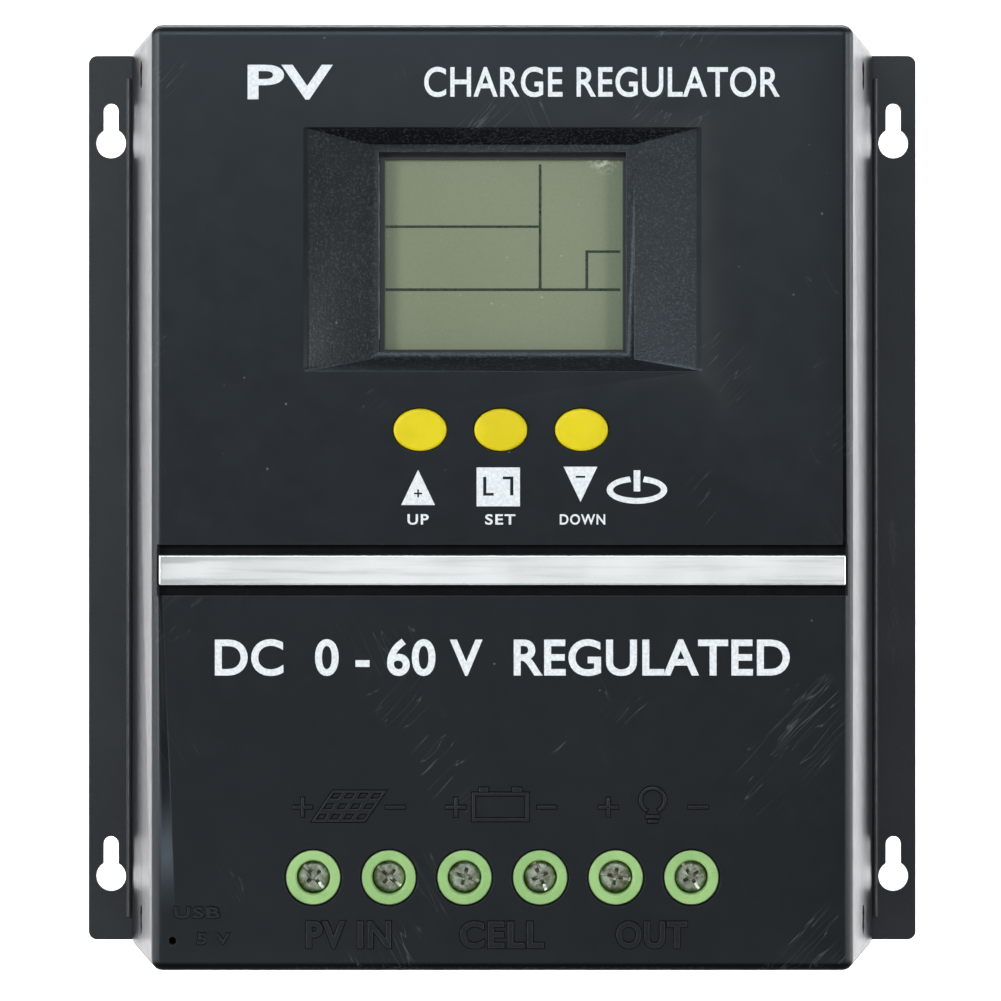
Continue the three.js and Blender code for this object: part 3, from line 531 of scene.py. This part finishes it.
def prism(name, outline, low, high):
    """Closed solid between two Z levels, with an outline of (x, y) points."""
    points = [(x, y, z) for z in (low, high) for x, y in outline]
    count = len(outline)
    faces = [tuple(range(count)), tuple(range(2 * count - 1, count - 1, -1))]
    faces += [(i, (i + 1) % count, count + (i + 1) % count, count + i) for i in range(count)]
    return face_outwards(new_mesh(name, points, faces))


def combine(piece, others, operation):
    """Exact boolean of a piece with several others, which are used up."""
    for other in others:
        step = piece.modifiers.new("combine", "BOOLEAN")
        step.operation = operation
        step.solver = "EXACT"
        step.object = other
    result = baked(piece)
    for other in others:
        bpy.data.objects.remove(other)
    return result


def soften(piece, width, segments=2, angle=35):
    """Rounds the sharp edges by a small real bevel."""
    step = piece.modifiers.new("soften", "BEVEL")
    step.width = width * MM
    step.segments = segments
    step.limit_method = "ANGLE"
    step.angle_limit = math.radians(angle)
    step.use_clamp_overlap = False
    step.miter_outer = "MITER_ARC"
    step.harden_normals = False
    return baked(piece)


def from_cad(node, name):
    """Copy of a CAD node's shape with its vertices joined."""
    mesh = frame["nodes"][node].data.copy()
    mesh.materials.clear()
    b = bmesh.new()
    b.from_mesh(mesh)
    bmesh.ops.remove_doubles(b, verts=b.verts, dist=1e-6)
    b.to_mesh(mesh)
    b.free()
    return link(name, mesh)


def flat_art(name, outlines, y_front, thickness, round_edge=0.0, grow=0.0):
    """Flat figure on a face that looks to -Y: closed outlines of (x, z) points, inner ones are holes."""
    curve = bpy.data.curves.new(name, "CURVE")
    curve.dimensions = "2D"
    curve.fill_mode = "BOTH"
    curve.extrude = (thickness / 2 - round_edge) * MM
    curve.bevel_depth = round_edge * MM
    curve.bevel_resolution = 2
    curve.offset = (grow - round_edge) * MM
    for outline in outlines:
        spline = curve.splines.new("POLY")
        spline.points.add(len(outline) - 1)
        for point, (x, z) in zip(spline.points, outline):
            point.co = (x * MM, z * MM, 0, 1)
        spline.use_cyclic_u = True
    piece = link(name, curve)
    return stand_up(baked(piece), y_front + thickness / 2)


def stand_up(piece, y):
    """Turns a flat figure from the XY plane to face -Y at depth y."""
    turn = Matrix.Translation((0, y * MM, 0)) @ Matrix.Rotation(math.pi / 2, 4, "X")
    piece.data.transform(turn)
    b = bmesh.new()
    b.from_mesh(piece.data)
    bmesh.ops.remove_doubles(b, verts=b.verts, dist=1e-7)
    bmesh.ops.recalc_face_normals(b, faces=b.faces)
    b.to_mesh(piece.data)
    b.free()
    return piece


def text_curve(name, words, weight, spacing):
    curve = bpy.data.curves.new(name, "FONT")
    curve.body = words
    curve.space_character = spacing
    curve.offset = weight
    curve.resolution_u = 6
    return curve


def lettering(name, words, x_range, z_range, y_front, thickness, weight=0.0, spacing=1.0, round_edge=0.0):
    """Words stretched to fill a rectangle on the front face."""
    measured = baked(link(name, text_curve(name, words, weight, spacing)))
    xs = [v.co.x for v in measured.data.vertices]
    ys = [v.co.y for v in measured.data.vertices]
    bpy.data.objects.remove(measured)
    curve = text_curve(name, words, weight, spacing)
    scale_x = (x_range[1] - x_range[0]) * MM / (max(xs) - min(xs))
    scale_z = (z_range[1] - z_range[0]) * MM / (max(ys) - min(ys))
    curve.extrude = (thickness / 2 - round_edge) * MM
    curve.bevel_depth = round_edge * MM
    piece = baked(link(name, curve))
    move = Matrix.Translation((x_range[0] * MM - min(xs) * scale_x, z_range[0] * MM - min(ys) * scale_z, 0))
    piece.data.transform(move @ Matrix.Diagonal((scale_x, scale_z, 1, 1)))
    return stand_up(piece, y_front + thickness / 2)


def bar(x0, x1, z0, z1):
    return [(x0, z0), (x1, z0), (x1, z1), (x0, z1)]


def cross(x, z, reach, half):
    r, h = reach, half
    lower = [(-r, -h), (-h, -h), (-h, -r), (h, -r), (h, -h), (r, -h)]
    upper = [(r, h), (h, h), (h, r), (-h, r), (-h, h), (-r, h)]
    return [(x + a, z + b) for a, b in lower + upper]


def arc(x, z, rx, rz, start, end, steps=40):
    """Points on an ellipse from one angle to another, in degrees."""
    angles = [math.radians(start + (end - start) * i / steps) for i in range(steps + 1)]
    return [(x + rx * math.cos(a), z + rz * math.sin(a)) for a in angles]


# ---------------------------------------------------------------- case
def build_case():
    shell = from_cad("front_cover", "case_shell")
    finish_piece(shell, "case_black", HOUSING, ["front_cover"], sharp=20, weigh=False)
    low, high = box_mm("trim_strip")
    strip = soften(block("trim_bar", low, high), 0.32, 4)
    finish_piece(strip, "trim_bright", HOUSING, ["trim_strip"])
    # Near-black strips in the grooves above and below the trim strip: painted shade.
    middle, reach, inside = (low.z + high.z) / 2, GROOVE_HEIGHT / 2 - 0.05, 0.15
    gaps = {"below": (middle - reach, low.z - inside), "above": (high.z + inside, middle + reach)}
    for name, (z0, z1) in gaps.items():
        floor = flat_art("groove_shade_" + name, [bar(low.x, high.x, z0, z1)], FACE_Y + 1.7, 0.06)
        finish_piece(floor, "painted_shade", HOUSING, smooth=False)


def build_plate_beads():
    """Half-round folds of the base plate that run along the foot of each side wall."""
    radius, reach, sunk = 0.48, 88.5, 0.1
    for name, side in (("left", -1), ("right", 1)):
        x = side * (SIDE_REAR_X + 0.42)
        section = arc(x, PLATE_FRONT_Y + sunk, radius, radius * 2, 180, 360, 16)
        bead = prism("plate_bead_" + name, section, -reach, reach)
        # The bead's paler paint is a painted highlight along it.
        finish_piece(bead, "plate_highlight", HOUSING)


def screw_recess(x, z, y, turn, reach, depth, slot_reach=0.0):
    """Cutters for a tapered cross recess, and for a slot if it has one."""
    half_width, above = 0.36, -0.6
    blades = [(0, reach, depth), (90, reach, depth)]
    if slot_reach:
        blades.append((0, slot_reach, depth * 0.45))
    cutters = []
    for angle, length, deep in blades:
        tip, shoulder = length * 0.45, deep * 0.35
        upper = [(-length, above), (length, above)]
        outline = upper + [(length, shoulder), (tip, deep), (-tip, deep), (-length, shoulder)]
        cutter = prism("recess", outline, -half_width, half_width)
        turned = Matrix.Rotation(math.radians(turn + angle), 4, "Y")
        cutter.data.transform(Matrix.Translation((x * MM, y * MM, z * MM)) @ turned)
        cutters.append(cutter)
    return cutters


def build_cover_screws():
    """Countersunk screws in the side walls, lying along the walls' normals."""
    slope = (SIDE_REAR_X - SIDE_FRONT_X) / -FACE_Y
    head_x = SIDE_REAR_X + slope * COVER_SCREW_Y
    top, shank, thread = 0.32, 1.45, 1.22
    profile = [(0, top), (2.3, top), (2.62, 0.36), (2.76, 0.46), (1.5, 1.95), (shank, 2.1)]
    for k in range(10):
        y = 2.2 + 0.5 * k
        profile += [(shank, y), (thread, y + 0.25)]
    profile += [(1.1, 7.4), (0, 7.9)]
    for corner in CORNERS:
        low, high = box_mm("cover_screw_" + corner)
        side = -1 if corner.endswith("left") else 1
        turned = lathe("cover_screw_head_" + corner, profile, sides=64)
        cutters = screw_recess(0, 0, top, random.uniform(0, 90), 1.45, 1.2)
        screw = combine(turned, cutters, "DIFFERENCE")
        centre = (low + high) / 2
        place = Matrix.Translation((side * head_x * MM, COVER_SCREW_Y * MM, centre.z * MM))
        screw.data.transform(place @ Matrix.Rotation(side * (math.pi / 2 - math.atan(slope)), 4, "Z"))
        finish_piece(screw, "screw_zinc", HOUSING, ["cover_screw_" + corner])


# ---------------------------------------------------------------- display
def build_display():
    low, high = LCD_LOW, LCD_HIGH
    panel = soften(block("lcd_glass_panel", low, high), 0.2)
    finish_piece(panel, "lcd_green", HOUSING, ["lcd_panel"])
    x0, x1 = -23.4, 23.6
    lines = [
        bar(7.3, 7.85, 41.9, 66.7),
        bar(x0, 7.3, 54.0, 54.5),
        bar(x0, x1, 41.35, 41.9),
        bar(16.65, 17.2, 41.9, 49.0),
        bar(16.65, x1, 49.0, 49.5),
    ]
    for i, outline in enumerate(lines):
        art = flat_art(f"lcd_line_{i + 1}", [outline], low.y - 0.03, 0.03)
        finish_piece(art, "lcd_ink", HOUSING, smooth=False)
    edge_x, step = -24.6, 1.1
    heights = [66.8 - step * k for k in range(33)]
    outer = [(edge_x - random.uniform(0.05, 0.22), z) for z in heights]
    inner = [(edge_x + random.uniform(0.0, 0.08), z) for z in reversed(heights)]
    burr = flat_art("window_burr", [outer + inner], low.y - 1.55, 0.1)
    finish_piece(burr, "scuffed_edge", HOUSING, smooth=False)


def build_buttons():
    """Oval caps with a softly rounded rim."""
    for name, middle in BUTTONS.items():
        low, high = box_mm("button_" + name)
        front, flange, lip, back = low.y, 1.262, -56.7, -55.2
        profile = [(0, front + 0.02), (0.55, front + 0.02), (0.8, front + 0.03)]
        for k in range(9):
            a = math.radians(90 - 90 * k / 8)
            profile.append((0.86 + 0.14 * math.cos(a), front + 0.7 - 0.66 * math.sin(a)))
        profile += [(1, front + 1.6), (1, lip - 0.05), (1.02, lip), (flange - 0.02, lip), (flange, lip + 0.1)]
        profile += [(flange, back - 0.1), (flange - 0.02, back), (0.32, back), (0.3, back + 0.2)]
        profile += [(0.3, high.y), (0, high.y)]
        cap = lathe("button_cap_" + name, profile, middle.x, middle.z, 128, CAP_RX, CAP_RZ)
        finish_piece(cap, "button_yellow", "push_" + name, ["button_" + name])


# ---------------------------------------------------------------- printed marks
def printed(piece):
    finish_piece(piece, "print_pale", HOUSING, smooth=False)


def build_print():
    y = FACE_Y - PRINT_THICKNESS
    t = PRINT_THICKNESS
    words = [
        ("title_short", "PV", (-50.5, -33.6), (78.9, 85.8), 0.022, 1.02),
        ("title_long", "CHARGE REGULATOR", (-15.5, 55.0), (79.4, 85.4), 0.012, 1.05),
        ("rating", "DC  0 - 60 V  REGULATED", (-57.0, 57.0), (-35.4, -28.0), 0.022, 1.04),
        ("label_up", "UP", (-18.8, -14.6), (-5.4, -3.3), 0.02, 1.15),
        ("label_set", "SET", (-3.4, 2.6), (-5.4, -3.3), 0.02, 1.15),
        ("label_down", "DOWN", (11.4, 20.4), (-5.4, -3.3), 0.02, 1.15),
    ]
    for name, text, xs, zs, weight, spacing in words:
        printed(lettering("print_" + name, text, xs, zs, y, t, weight, spacing))
    x, z = -16.7, 2.0
    up = [(x - 3.35, z - 3.5), (x + 3.35, z - 3.5), (x, z + 3.5)]
    printed(flat_art("print_arrow_up", [up, cross(x, z - 1.2, 0.8, 0.17)], y, t))
    x = -0.8
    square = bar(x - 4.3, x + 4.3, 2.1 - 3.85, 2.1 + 3.85)
    left = [(-3.0, 2.0), (-2.35, 2.0), (-2.35, -1.2), (-0.9, -1.2), (-0.9, -1.75), (-3.0, -1.75)]
    right = [(-px, -pz + 0.3) for px, pz in left]
    holes = [[(x + px, 2.1 + pz) for px, pz in corner] for corner in (left, right)]
    printed(flat_art("print_square", [square, *holes], y, t))
    x, z = 15.5, 2.6
    down = [(x - 3.35, z + 3.5), (x, z - 3.5), (x + 3.35, z + 3.5)]
    printed(flat_art("print_arrow_down", [down, bar(x - 0.95, x + 0.95, z + 1.3, z + 1.7)], y, t))
    x, z = 26.7, 1.5
    rim = arc(x, z, 6.0, 2.75, 104, 436) + arc(x, z, 4.75, 1.6, 436, 104)
    printed(flat_art("print_power_ring", [rim], y, t))
    printed(flat_art("print_power_bar", [bar(x - 0.65, x + 0.65, z - 0.3, z + 3.9)], y, t))


# ---------------------------------------------------------------- raised marks
def raised(piece, foot):
    """A raised figure in case colour, and the painted shadow line around its foot."""
    finish_piece(piece, "case_black", HOUSING)
    finish_piece(foot, "painted_shade", HOUSING, smooth=False)


def build_relief():
    """Case-coloured signs above and below the terminals."""
    y = FACE_Y - RELIEF
    edge = 0.06

    def sign(name, outlines):
        piece = flat_art("relief_" + name, outlines, y, RELIEF + 0.05, edge)
        # Each sign gets a painted shadow line round its foot.
        raised(piece, flat_art("foot_" + name, outlines, FACE_Y - FOOT_HEIGHT, FOOT_HEIGHT, grow=FOOT_WIDTH))

    z = -61.4
    for n, x in enumerate((-39.6, -9.2, 21.0)):
        sign(f"plus_{n + 1}", [cross(x, z, 1.9, 0.3)])
    for n, x in enumerate((-21.2, 8.8, 38.8)):
        sign(f"minus_{n + 1}", [bar(x - 1.9, x + 1.9, z - 0.3, z + 0.3)])
    build_panel_sign(sign)
    x, z = -0.4, -61.2
    outer = bar(x - 5.6, x + 5.6, z - 3.0, z + 2.7)
    inner = bar(x - 5.0, x + 5.0, z - 2.4, z + 2.1)
    sign("battery", [outer, inner])
    for n, dx in enumerate((-3.3, 3.3)):
        sign(f"battery_post_{n + 1}", [bar(x + dx - 0.9, x + dx + 0.9, z + 2.8, z + 3.7)])
    x, z = 29.8, -60.0
    sign("lamp", [arc(x, z, 2.7, 2.7, -62, 242, 36) + arc(x, z, 2.1, 2.1, 242, -62, 36)])
    sign("lamp_base", [bar(x - 1.3, x + 1.3, z - 3.6, z - 3.0)])
    sign("lamp_foot", [bar(x - 0.9, x + 0.9, z - 4.5, z - 3.9)])
    names = [("pv", "PV IN", (-38.9, -22.1)), ("cell", "CELL", (-8.4, 8.2)), ("out", "OUT", (22.6, 36.6))]
    words = [(name, text, xs, (-89.4, -84.0), 0.03) for name, text, xs in names]
    words.append(("usb", "USB", (-65.0, -56.0), (-83.4, -81.2), 0.01))
    words.append(("5v", "5 V", (-60.5, -54.0), (-88.6, -86.4), 0.01))
    for name, text, xs, zs, weight in words:
        piece = lettering("relief_word_" + name, text, xs, zs, y, RELIEF + 0.05, weight, 1.1, edge / 2)
        # The foot outline round each word carries a painted shadow line.
        around = [(low - FOOT_WIDTH, high + FOOT_WIDTH) for low, high in (xs, zs)]
        front, bolder = FACE_Y - FOOT_HEIGHT, weight + 0.03
        foot = lettering("foot_word_" + name, text, *around, front, FOOT_HEIGHT, bolder, 1.1)
        raised(piece, foot)


def build_panel_sign(sign):
    """Slanted grid that stands for a solar panel."""
    x, z, wide, high, lean = -30.4, -61.2, 10.6, 6.2, 4.2

    def at(u, v):
        return (x + (u - 0.5) * wide + (v - 0.5) * lean, z + (v - 0.5) * high)

    grid = [[at(0, 0), at(1, 0), at(1, 1), at(0, 1)]]
    columns, rows, gap = 4, 3, 0.045
    for i in range(columns):
        for j in range(rows):
            u0, u1 = i / columns + gap, (i + 1) / columns - gap
            v0, v1 = j / rows + gap * 1.6, (j + 1) / rows - gap * 1.6
            grid.append([at(u0, v0), at(u1, v0), at(u1, v1), at(u0, v1)])
    sign("panel", grid)


# ---------------------------------------------------------------- terminals
def block_collar(x, z, root_y):
    """Round collar of one way, with a softened front rim."""
    rim = []
    for k in range(7):
        a = math.radians(90 * k / 6)
        rim.append((COLLAR_RADIUS - 0.3 + 0.3 * math.sin(a), FACE_Y + 0.3 - 0.3 * math.cos(a)))
    return lathe("collar", [(0, FACE_Y), *rim, (COLLAR_RADIUS, root_y), (0, root_y)], x, z, 96)


def way_holes(x, z):
    """Cutters for one way: screw bore, shank hole, clamp chamber, wire entry and current bar slot."""
    wide, bore_end = BORE_RADIUS + 0.35, -54.6
    lip = [(wide, FACE_Y - 0.05), (BORE_RADIUS + 0.2, FACE_Y + 0.12), (BORE_RADIUS, FACE_Y + 0.4)]
    bore = [(0, FACE_Y - 1), (wide, FACE_Y - 1), *lip, (BORE_RADIUS, bore_end), (0, bore_end)]
    return [
        lathe("bore", bore, x, z, 96),
        lathe("shank_way", [(0, -56), (2.35, -56), (2.35, -52), (0, -52)], x, z, 48),
        block("chamber", (x - 6, -53.2, -81.2), (x + 6, -27.4, -69.6)),
        block("entry", (x - 4.7, -40.3, -91.5), (x + 4.7, -31.1, -80)),
        block("bar_way", (x - 4.3, -42.3, -71), (x + 4.3, -39.7, -63)),
    ]


def build_blocks():
    """Two-way terminal blocks with round collars, screw bores and wire windows."""
    z = SCREWS[1].z
    front = FACE_Y + 3.3
    for name in BLOCKS:
        low, high = box_mm("terminal_" + name)
        centre = (low.x + high.x) / 2
        ways = {"left": centre - HALF_PITCH, "right": centre + HALF_PITCH}
        body = soften(block("block_" + name, (low.x, front, low.z), high), 0.35, 3)
        whole = combine(body, [block_collar(x, z, front + 1) for x in ways.values()], "UNION")
        whole = combine(whole, [hole for x in ways.values() for hole in way_holes(x, z)], "DIFFERENCE")
        finish_piece(whole, "terminal_green", HOUSING, ["terminal_" + name])
        # A near-black ring over the gap round each collar: painted shade.
        for side, x in ways.items():
            outer = arc(x, z, GAP_SHADE_RADIUS, GAP_SHADE_RADIUS, 0, 352.5, 47)
            inner = arc(x, z, COLLAR_RADIUS + 0.03, COLLAR_RADIUS + 0.03, 0, 352.5, 47)
            gap_shade = flat_art(f"seam_{name}_{side}", [outer, inner], FACE_Y - FOOT_HEIGHT, FOOT_HEIGHT)
            finish_piece(gap_shade, "painted_shade", HOUSING, smooth=False)


def build_terminal_screws():
    """Clamping screws with a domed head, a cross recess over a slot, and a threaded shank."""
    for n, middle in SCREWS.items():
        low, high = box_mm(f"terminal_screw_{n}")
        y, tip, r, under = low.y, high.y, HEAD_RADIUS, low.y + HEAD_HEIGHT
        profile = [(0, y), (r - 1.1, y + 0.02), (r - 0.7, y + 0.06), (r - 0.35, y + 0.15)]
        profile += [(r - 0.14, y + 0.3), (r - 0.03, y + 0.55), (r, y + 0.9)]
        profile += [(r, under - 0.1), (r - 0.1, under), (SHANK_RADIUS, under)]
        for k in range(int((tip - under - 0.6) / THREAD_PITCH)):
            at = under + 0.2 + k * THREAD_PITCH
            profile += [(SHANK_RADIUS, at), (SHANK_RADIUS - THREAD_DEPTH, at + THREAD_PITCH / 2)]
        profile += [(SHANK_RADIUS - 0.3, tip - 0.2), (SHANK_RADIUS - 0.6, tip), (0, tip)]
        turned = lathe(f"clamp_screw_{n}", profile, middle.x, middle.z, 72)
        angle = random.uniform(0, 90)
        cutters = screw_recess(middle.x, middle.z, y, angle, 1.75, 1.7, slot_reach=r + 0.4)
        screw = soften(combine(turned, cutters, "DIFFERENCE"), 0.06, 1, 40)
        finish_piece(screw, "screw_zinc", f"screw_{n}", [f"terminal_screw_{n}"])


# ---------------------------------------------------------------- the other CAD nodes
def build_carried_over():
    """CAD nodes whose shape is right: each takes its slot's finished material."""
    slots = {part["node"]: part["material_slot"] for part in frame["record"]["subparts"]}
    for node, piece in frame["nodes"].items():
        piece.data.materials.clear()
        piece.data.materials.append(MATERIALS[slots[node]])


# ---------------------------------------------------------------- studio
def build_stage():
    """Seamless paper: a floor that sweeps up into a backdrop far behind the object."""
    floor_z, wall_y, radius = -420.0, 2600.0, 500.0
    line = [(-2600.0, floor_z)]
    for k in range(17):
        a = math.radians(90 * k / 16)
        line.append((wall_y - radius + radius * math.sin(a), floor_z + radius * (1 - math.cos(a))))
    line.append((wall_y, 850.0))
    points = [(side * 3200.0, y, z) for y, z in line for side in (-1, 1)]
    faces = [(2 * k, 2 * k + 1, 2 * k + 3, 2 * k + 2) for k in range(len(line) - 1)]
    floor = new_mesh("studio_floor", points, faces)
    floor.data.materials.append(studio_paper())
    floor.data.shade_smooth()


def area_light(name, location, target, size, power, colour=(1, 1, 1)):
    data = bpy.data.lights.new(name, "AREA")
    data.shape = "RECTANGLE"
    data.size, data.size_y = size
    data.energy = power
    data.color = colour
    lamp = bpy.data.objects.new(name, data)
    lamp.visible_camera = False
    lamp.location = location
    lamp.rotation_mode = "QUATERNION"
    lamp.rotation_quaternion = (Vector(target) - Vector(location)).to_track_quat("-Z", "Y")
    bpy.context.scene.collection.objects.link(lamp)


def build_lights():
    cool = (0.88, 1.0, 1.12)
    area_light("left_softbox", (-1.5, -1.2, 0.4), (0, 0, 0), (0.45, 1.3), 22)
    area_light("right_softbox", (1.6, -1.25, 0.35), (0, 0, 0), (0.3, 1.3), 17)
    area_light("high_softbox", (-0.25, -1.9, 0.78), (0, 0, 0.1), (1.5, 0.4), 15.5, cool)
    area_light("low_softbox", (-0.5, -2.0, -0.5), (0, 0, 0), (0.5, 0.25), 4.0, cool)
    area_light("left_strip", (-1.9, -0.45, 0.05), (0, 0, 0), (0.5, 1.5), 13)
    area_light("right_strip", (1.9, -0.45, 0.05), (0, 0, 0), (0.5, 1.5), 9)
    area_light("left_edge_strip", (-1.9, 0.35, 0.0), (0, 0, 0), (0.4, 1.6), 8)
    area_light("right_edge_strip", (1.9, 0.35, 0.0), (0, 0, 0), (0.4, 1.6), 20)
    area_light("top_edge_strip", (0, 0.6, 1.7), (0, 0, 0), (1.6, 0.4), 12)
    area_light("left_rim", (-1.05, 1.75, 0.0), (0, 0, 0), (0.45, 1.5), 2.8)
    area_light("right_rim", (1.05, 1.75, 0.0), (0, 0, 0), (0.45, 1.5), 4.6)
    area_light("front_card", (0.045, -2.45, -0.06), (0, 0, 0), (0.60, 0.26), 0.44)
    area_light("backdrop_light", (0, 0.9, 1.9), (0, 2.6, 0.1), (3.4, 0.6), 150)
    world = bpy.data.worlds.new("studio")
    bpy.context.scene.world = world
    world.use_nodes = True
    tree = world.node_tree
    coords = tree.nodes.new("ShaderNodeTexCoord")
    split = tree.nodes.new("ShaderNodeSeparateXYZ")
    ramp = tree.nodes.new("ShaderNodeMapRange")
    ramp.inputs["From Min"].default_value = -0.15
    ramp.inputs["From Max"].default_value = 0.45
    ramp.inputs["To Min"].default_value = 0.02
    ramp.inputs["To Max"].default_value = 0.20
    tree.links.new(coords.outputs["Generated"], split.inputs[0])
    tree.links.new(split.outputs["Z"], ramp.inputs["Value"])
    tree.nodes["Background"].inputs["Color"].default_value = (0.88, 1.0, 1.12, 1)
    tree.links.new(ramp.outputs["Result"], tree.nodes["Background"].inputs["Strength"])


def build_camera():
    data = bpy.data.cameras.new("camera")
    data.sensor_width = 36.0
    data.lens = 160.7
    data.clip_end = 30
    camera = bpy.data.objects.new("camera", data)
    camera.location = (-0.00036, FACE_Y * MM - 0.886, -0.0006)
    camera.rotation_euler = (math.pi / 2, 0, 0)
    bpy.context.scene.collection.objects.link(camera)
    bpy.context.scene.camera = camera


build_camera()
build_lights()
build_stage()
build_carried_over()
build_case()
build_plate_beads()
build_cover_screws()
build_display()
build_buttons()
build_print()
build_relief()
build_blocks()
build_terminal_screws()
bpy.context.scene.view_settings.view_transform = "Standard"
